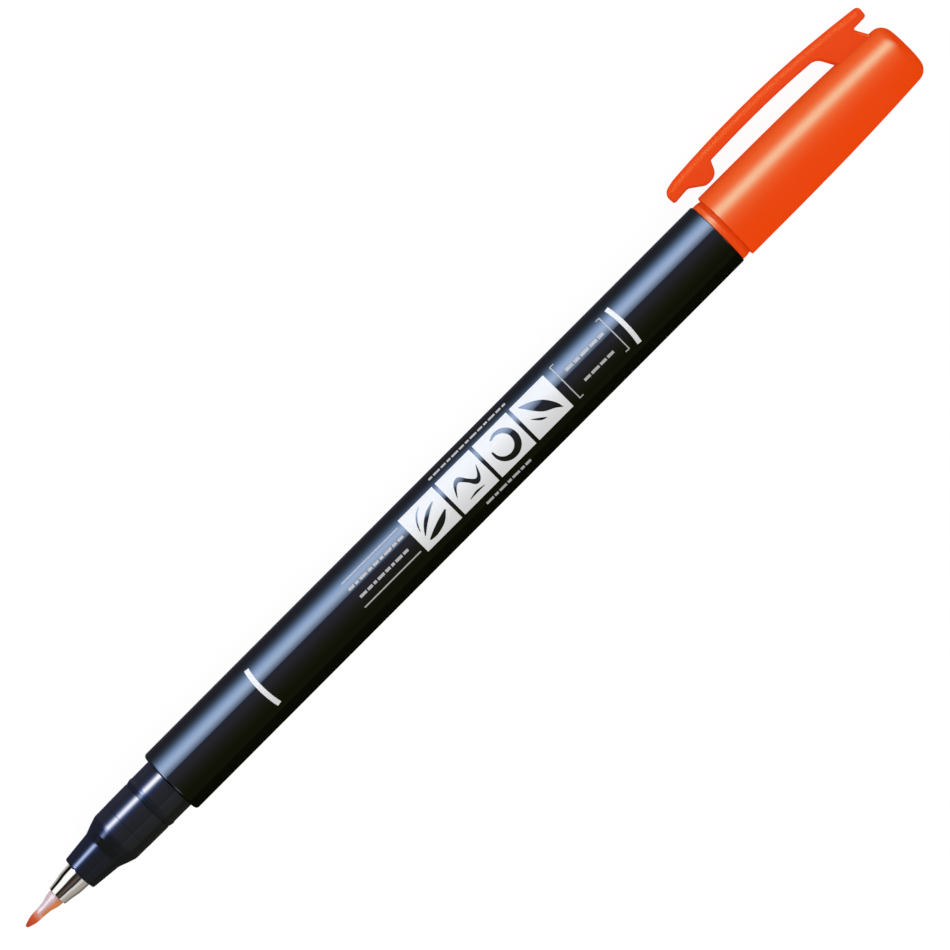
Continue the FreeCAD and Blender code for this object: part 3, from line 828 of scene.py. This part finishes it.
def make_strokes():
    """Sample strokes of a soft point: a fan of weights, a wave, an open ring and a leaf."""
    ring = []
    for step in range(11):
        angle = math.radians(120 - 31 * step)
        half_width = 0.12 + 0.34 * math.sin(math.pi * step / 10)
        ring.append((1.75 * math.cos(angle), 1.75 * math.sin(angle), half_width))
    strokes = [
        stroke(0, [(-1.9, -0.3, 0.04), (-1.5, 0.6, 0.1), (-0.8, 1.5, 0.1), (0.1, 2.1, 0.03)]),
        stroke(0, [(-1.8, -1.1, 0.06), (-0.9, -0.2, 0.22), (0.4, 0.7, 0.24), (1.8, 1.3, 0.05)]),
        stroke(0, [(-1.7, -1.9, 0.1), (-0.6, -1.7, 0.38), (0.9, -1.2, 0.42), (2.2, -0.5, 0.08)]),
        stroke(1, [(-2.2, -0.6, 0.04), (-1.4, 0.6, 0.2), (-0.6, 0.9, 0.32), (0.2, 0.0, 0.24),
                   (0.9, -0.8, 0.34), (1.6, -0.5, 0.2), (2.25, 0.7, 0.03)]),
        stroke(1, [(-1.2, -1.9, 0.03), (0.0, -1.75, 0.14), (1.3, -1.85, 0.03)]),
        stroke(2, ring),
        stroke(3, [(2.0, -1.9, 0.02), (1.4, -1.0, 0.38), (0.3, 0.0, 0.72),
                   (-0.9, 1.1, 0.5), (-2.0, 2.0, 0.04)]),
        stroke(3, [(-0.3, -1.4, 0.03), (-1.0, -1.0, 0.16), (-1.9, -0.2, 0.03)]),
    ]
    return printed("printed_strokes", strokes, surface="stroke")


# ---------------------------------------------------------------- pieces inside the pen

def dress_carried_nodes():
    """The pieces that keep their CAD shape get their procedural material."""
    for node, slot in (
        ("relay_wick", "wick_fibre"),
        ("reservoir_core", "ink_fibre"),
        ("reservoir_film", "store_film"),
        ("inner_cap", "inner_cap_plastic"),
    ):
        carried = frame["nodes"][node]
        carried.material_slots[0].material = materials[slot].material
        carried.data.shade_smooth()


# ---------------------------------------------------------------- light

def bell(angle, middle, below, above):
    """A soft hump over an angle, with its own width on each side."""
    width = below if angle < middle else above
    return math.exp(-0.5 * ((angle - middle) / width) ** 2)


def tint(colour, amount):
    return Vector(colour) * amount


def between(angle, keys):
    """A colour read off a short list of (angle, colour), blended in between."""
    for (low, first), (high, second) in zip(keys, keys[1:]):
        if low <= angle <= high:
            return Vector(first).lerp(Vector(second), (angle - low) / (high - low))
    return Vector(keys[-1][1])


# What the barrel's gloss sees of the dim studio, by angle from the viewer: the desk side is below zero.
BARREL_STUDIO = [
    (-180, (0.003, 0.004, 0.001)),
    (-94, (0.003, 0.004, 0.001)),
    (-89, (0.07, 0.075, 0.04)),
    (-64, (0.07, 0.075, 0.02)),
    (-42, (0.13, 0.135, 0.07)),
    (-18, (0.24, 0.24, 0.24)),
    (0, (0.38, 0.38, 0.60)),
    (20, (0.40, 0.40, 0.65)),
    (130, (0.09, 0.10, 0.14)),
    (180, (0.09, 0.10, 0.14)),
]
SECTION_STUDIO = [
    (-180, (0.06, 0.06, 0.03)),
    (-94, (0.04, 0.04, 0.01)),
    (-88, (0.21, 0.22, 0.16)),
    (-50, (0.33, 0.33, 0.36)),
    (-43, (0.50, 0.49, 0.66)),
    (-39, (0.34, 0.34, 0.42)),
    (-34, (0.24, 0.24, 0.24)),
    (0, (0.37, 0.36, 0.53)),
    (20, (0.39, 0.38, 0.58)),
    (110, (0.28, 0.27, 0.50)),
    (135, (0.14, 0.14, 0.25)),
    (180, (0.10, 0.10, 0.16)),
]


def barrel_glow(angle):
    """A broad cool softbox with a flagged lower edge."""
    flagged = 18
    studio = between(angle, BARREL_STUDIO)
    if angle <= flagged:
        return studio
    softbox = (
        7.4 * bell(angle, 43.5, 13, 18.6),
        9.8 * bell(angle, 45.5, 15, 18.8),
        14.5 * bell(angle, 48, 17, 18.3),
    )
    return studio + Vector(softbox)


def section_glow(angle):
    """A narrow strip light with blue skirts."""
    return (tint((33, 29.5, 22), bell(angle, 47.5, 6.2, 7.2))
            + tint((0.3, 2.0, 8.0), bell(angle, 47, 11.5, 13))
            + between(angle, SECTION_STUDIO))


def cap_glow(angle):
    """A softbox with a wide halo, in a room as orange as the cap."""
    return (tint((1.4, 9.4, 7.1), bell(angle, 45, 12.2, 13.4))
            + tint((0.9, 2.4, 0.85), bell(angle, 38, 29, 44))
            + Vector((0.8, 0.058, 0.003)))


def clip_glow(angle):
    """A weak reflection along the crown of the clip, in the same orange room."""
    return tint((1.3, 1.5, 0.5), bell(angle, 38, 16, 30)) + Vector((0.8, 0.058, 0.003))


def chrome_glow(angle):
    """White panel above, dark room in front, grey card on the desk side."""
    white = (1.15, 1.15, 1.15)
    dark = (0.03, 0.026, 0.02)
    warm = (0.115, 0.09, 0.075)
    black = (0.006, 0.005, 0.003)
    light_grey = (0.72, 0.71, 0.70)
    grey = (0.47, 0.445, 0.41)
    desk_side = [
        (-180, grey), (-145, (0.13, 0.12, 0.10)), (-122, (0.26, 0.24, 0.20)), (-104, (0.42, 0.39, 0.35)),
        (-68, grey), (-62, light_grey), (-45, light_grey),
    ]
    front = [(-39, dark), (-29, dark), (-21, warm), (-10, warm), (4, dark), (22, dark)]
    above = [(29, white), (76, white), (84, black), (114, black), (122, grey), (180, light_grey)]
    return between(angle, desk_side + front + above)


# How much of the strip light is left for a surface that turns away from it, by that angle.
STRIP_FADE = [
    (0, (1, 1, 1)),
    (5, (1, 1, 1)),
    (12, (0.38, 0.48, 0.70)),
    (38, (0.16, 0.22, 0.42)),
    (44, (0, 0, 0)),
    (90, (0, 0, 0)),
]
SOFTBOX_FADE = [
    (0, (1, 1, 1)),
    (20, (1, 1, 1)),
    (60, (0.1, 0.1, 0.1)),
    (90, (0.1, 0.1, 0.1)),
]
RING_FADE = [
    (0, (1, 1, 1)),
    (8, (1, 1, 1)),
    (19, (0.08, 0.08, 0.08)),
    (90, (0.08, 0.08, 0.08)),
]
NO_FADE = [
    (0, (1, 1, 1)),
    (90, (1, 1, 1)),
]


def surround(name, glow, fade, receivers, radius, end_card=(0, 0, 0)):
    """A clear glowing tube round the pen that shows only in the gloss of the pieces it is meant for.

    An end card is a soft card of light far out at both ends, which lights the pen's far side.
    """
    around = range(-180, 180, 2)
    tilts = range(-64, 65, 4)
    vertices = []
    colours = []
    for tilt in tilts:
        left = between(abs(tilt), fade)
        for angle in around:
            out = VIEWERWARD * math.cos(math.radians(angle)) + CLIPWARD * math.sin(math.radians(angle))
            vertices.append((out + Vector((math.tan(math.radians(tilt)), 0, 0))) * radius)
            card = tint(end_card, bell(angle, -40, 12, 12) * bell(abs(tilt), 45, 7, 12))
            colours.extend((*(glow(angle) * left + card), 1))
    faces = []
    for ring in range(len(tilts) - 1):
        for spoke in range(len(around)):
            here = ring * len(around) + spoke
            beside = ring * len(around) + (spoke + 1) % len(around)
            faces.append((here, beside, beside + len(around), here + len(around)))
    tube = new_object(name, vertices, faces)
    layer = tube.data.color_attributes.new(name="glow", type="FLOAT_COLOR", domain="POINT")
    layer.data.foreach_set("color", colours)

    material = bpy.data.materials.new(name)
    material.use_nodes = True
    nodes = material.node_tree.nodes
    nodes.clear()
    links = material.node_tree.links
    attribute = nodes.new("ShaderNodeAttribute")
    attribute.attribute_name = "glow"
    emission = nodes.new("ShaderNodeEmission")
    clear = nodes.new("ShaderNodeBsdfTransparent")
    both = nodes.new("ShaderNodeAddShader")
    output = nodes.new("ShaderNodeOutputMaterial")
    links.new(attribute.outputs["Color"], emission.inputs["Color"])
    links.new(emission.outputs["Emission"], both.inputs[0])
    links.new(clear.outputs["BSDF"], both.inputs[1])
    links.new(both.outputs["Shader"], output.inputs["Surface"])
    tube.data.materials.append(material)

    lit = bpy.data.collections.new(f"{name}_receivers")
    for piece in receivers:
        lit.objects.link(piece)
    tube.light_linking.receiver_collection = lit
    tube.visible_camera = False
    tube.visible_diffuse = False
    tube.visible_transmission = False
    tube.visible_shadow = False


def make_desk():
    """Pale desk that glows a little, so that the pen's shadow on it stays faint."""
    half = 2.0
    corners = [(-half, -half, DESK), (half, -half, DESK), (half, half, DESK), (-half, half, DESK)]
    desk = new_object("desk", corners, [(0, 1, 2, 3)])
    material = bpy.data.materials.new("desk")
    material.use_nodes = True
    shader = material.node_tree.nodes["Principled BSDF"]
    shader.inputs["Base Color"].default_value = (0.07, 0.07, 0.07, 1)
    shader.inputs["Roughness"].default_value = 1
    shader.inputs["Specular IOR Level"].default_value = 0
    shader.inputs["Emission Color"].default_value = (1, 1, 1, 1)
    shader.inputs["Emission Strength"].default_value = 0.95
    desk.data.materials.append(material)
    desk.visible_glossy = False


def make_world():
    """Even white light from all round, kept out of the gloss."""
    world = bpy.data.worlds.new("studio")
    world.use_nodes = True
    world.node_tree.nodes["Background"].inputs["Color"].default_value = (1, 1, 1, 1)
    world.node_tree.nodes["Background"].inputs["Strength"].default_value = 1
    world.cycles_visibility.glossy = False
    bpy.context.scene.world = world
    bpy.context.scene.view_settings.view_transform = "Standard"


def make_camera():
    """Square to the pen's axis, rolled so that the pen runs up to the right, from far away."""
    roll = math.radians(45.07)
    view_width = 0.1164
    aim = Vector((-0.00558, 0, 0)) + CLIPWARD * 0.000181
    lens = 300
    right = TAILWARD * math.cos(roll) - CLIPWARD * math.sin(roll)
    up = TAILWARD * math.sin(roll) + CLIPWARD * math.cos(roll)
    data = bpy.data.cameras.new("camera")
    data.lens = lens
    data.clip_start = 0.01
    data.clip_end = 10
    camera = bpy.data.objects.new("camera", data)
    bpy.context.scene.collection.objects.link(camera)
    turned = Matrix((right, up, VIEWERWARD)).transposed().to_4x4()
    distance = view_width * lens / data.sensor_width
    camera.matrix_world = Matrix.Translation(aim + VIEWERWARD * distance) @ turned
    bpy.context.scene.camera = camera


# ---------------------------------------------------------------- build

barrel = make_barrel()
section = make_grip_section()
ferrule = make_ferrule()
nib = make_nib()
tail_plug = make_tail_plug()
cap_shell = make_cap_shell()
clip = make_clip()
prints = make_print()
dress_carried_nodes()

surround("barrel_light", barrel_glow, NO_FADE, [barrel, *prints], 0.60, end_card=(2.2, 2.8, 3.8))
surround("section_light", section_glow, STRIP_FADE, [section], 0.62)
surround("cap_light", cap_glow, SOFTBOX_FADE, [cap_shell, frame["nodes"]["inner_cap"]], 0.64)
surround("ring_light", cap_glow, RING_FADE, [tail_plug], 0.70)
surround("clip_light", clip_glow, NO_FADE, [clip], 0.68)
surround("chrome_light", chrome_glow, NO_FADE, [ferrule, nib], 0.66)
make_desk()
make_world()
make_camera()
